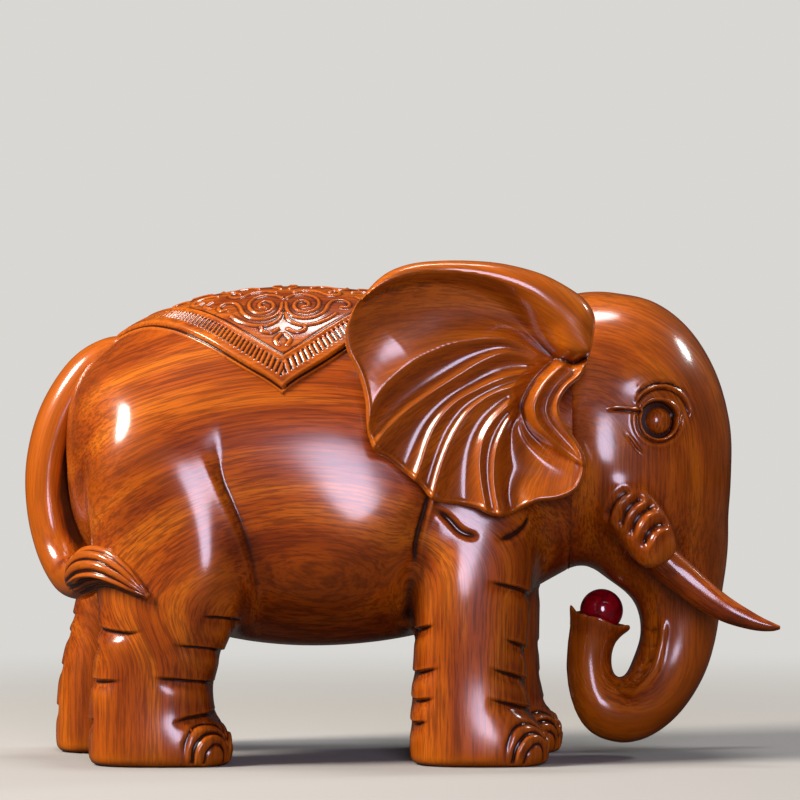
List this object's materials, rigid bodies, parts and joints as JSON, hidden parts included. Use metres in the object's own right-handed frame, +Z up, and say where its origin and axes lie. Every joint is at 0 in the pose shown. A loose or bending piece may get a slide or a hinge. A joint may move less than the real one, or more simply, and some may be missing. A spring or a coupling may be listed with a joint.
{
  "type": "elephant figurine",
  "caption": "Standing carved wooden elephant with flared fluted ears, tusks and a carved saddle cloth, its trunk curled up to hold a loose round bead.",
  "frame": {"origin": "centre of the base of the whole box, on the surface that the feet stand on", "axes": "+X towards the head, +Y towards the elephant's left side, +Z up"},
  "size_m": [0.2084, 0.1072, 0.1374],
  "materials": {
    "carved_wood": "fine dark grain under warm brown stain and clear gloss lacquer",
    "dowel_wood": "plain turned hardwood, hidden in its holes",
    "bead": "polished deep red"
  },
  "bodies": {
    "elephant": {"body_block": "carved_wood", "head_block": "carved_wood", "neck_dowels": "dowel_wood", "ear_left": "carved_wood", "ear_right": "carved_wood", "ear_dowels": "dowel_wood", "tusk_left": "carved_wood", "tusk_right": "carved_wood", "eye_left": "carved_wood", "eye_right": "carved_wood", "saddle_cloth": "carved_wood", "tail": "carved_wood", "tail_dowel": "dowel_wood"},
    "loose_bead": {"bead": "bead"}
  },
  "joints": [
    {"name": "bead_lift", "type": "slide", "parent": "elephant", "child": "loose_bead", "axis": [0, 0, 1], "range_m": [0, 0.0025]}
  ]
}
